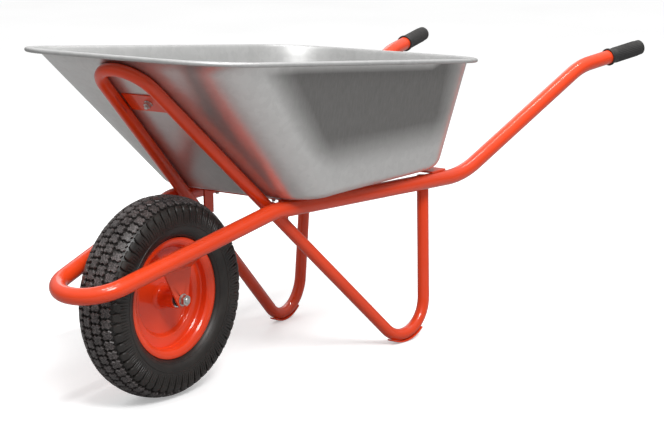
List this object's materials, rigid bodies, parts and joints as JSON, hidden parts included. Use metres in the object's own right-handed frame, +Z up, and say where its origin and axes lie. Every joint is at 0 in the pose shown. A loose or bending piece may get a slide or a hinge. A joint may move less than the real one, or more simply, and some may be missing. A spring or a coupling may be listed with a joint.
{
  "type": "wheelbarrow",
  "caption": "Single-wheel wheelbarrow: galvanised sheet pan on a bent red tube frame with legs, pneumatic wheel in front and two rubber hand grips.",
  "frame": {"origin": "middle of the barrow's length and width, on the ground", "axes": "+X back towards the handles, +Y the user's right, +Z up"},
  "size_m": [1.6004, 0.6458, 0.6719],
  "materials": {
    "frame_paint": "glossy red-orange powder coat on steel tube",
    "rim_paint": "glossy red-orange powder coat on pressed steel",
    "galvanised_sheet": "bright galvanised sheet with a rolled rim",
    "zinc_plate": "zinc plated steel",
    "bearing_steel": "ground bearing steel",
    "grip_rubber": "dark grey moulded grip with fine ribs",
    "tyre_rubber": "black rubber with a block tread",
    "tube_rubber": "thin black rubber",
    "cap_plastic": "black moulded plastic"
  },
  "bodies": {
    "chassis": {"main_tube": "frame_paint", "leg_tube": "frame_paint", "front_cross_member": "frame_paint", "rear_cross_member": "frame_paint", "brace_plate": "frame_paint", "tray": "galvanised_sheet", "tray_bolts": "zinc_plate", "tray_washers": "zinc_plate", "tray_nuts": "zinc_plate", "axle_bolt": "zinc_plate", "axle_nut": "zinc_plate", "axle_washers": "zinc_plate", "axle_spacers": "zinc_plate", "centre_spacer": "zinc_plate", "bearing_inner_rings": "bearing_steel", "left_axle_bracket": "frame_paint", "right_axle_bracket": "frame_paint", "left_skid_plate": "frame_paint", "right_skid_plate": "frame_paint", "left_grip": "grip_rubber", "right_grip": "grip_rubber"},
    "wheel": {"bearing_outer_rings": "bearing_steel", "bearing_balls": "bearing_steel", "bearing_seals": "tube_rubber", "hub": "rim_paint", "right_rim_half": "rim_paint", "left_rim_half": "rim_paint", "tyre": "tyre_rubber", "inner_tube": "tube_rubber", "valve_stem": "tube_rubber", "valve_cap": "cap_plastic"}
  },
  "joints": [
    {"name": "wheel_spin", "type": "hinge", "parent": "chassis", "child": "wheel", "pos_m": [-0.54288, 0, 0.195], "axis": [0, 1, 0], "continuous": true}
  ]
}
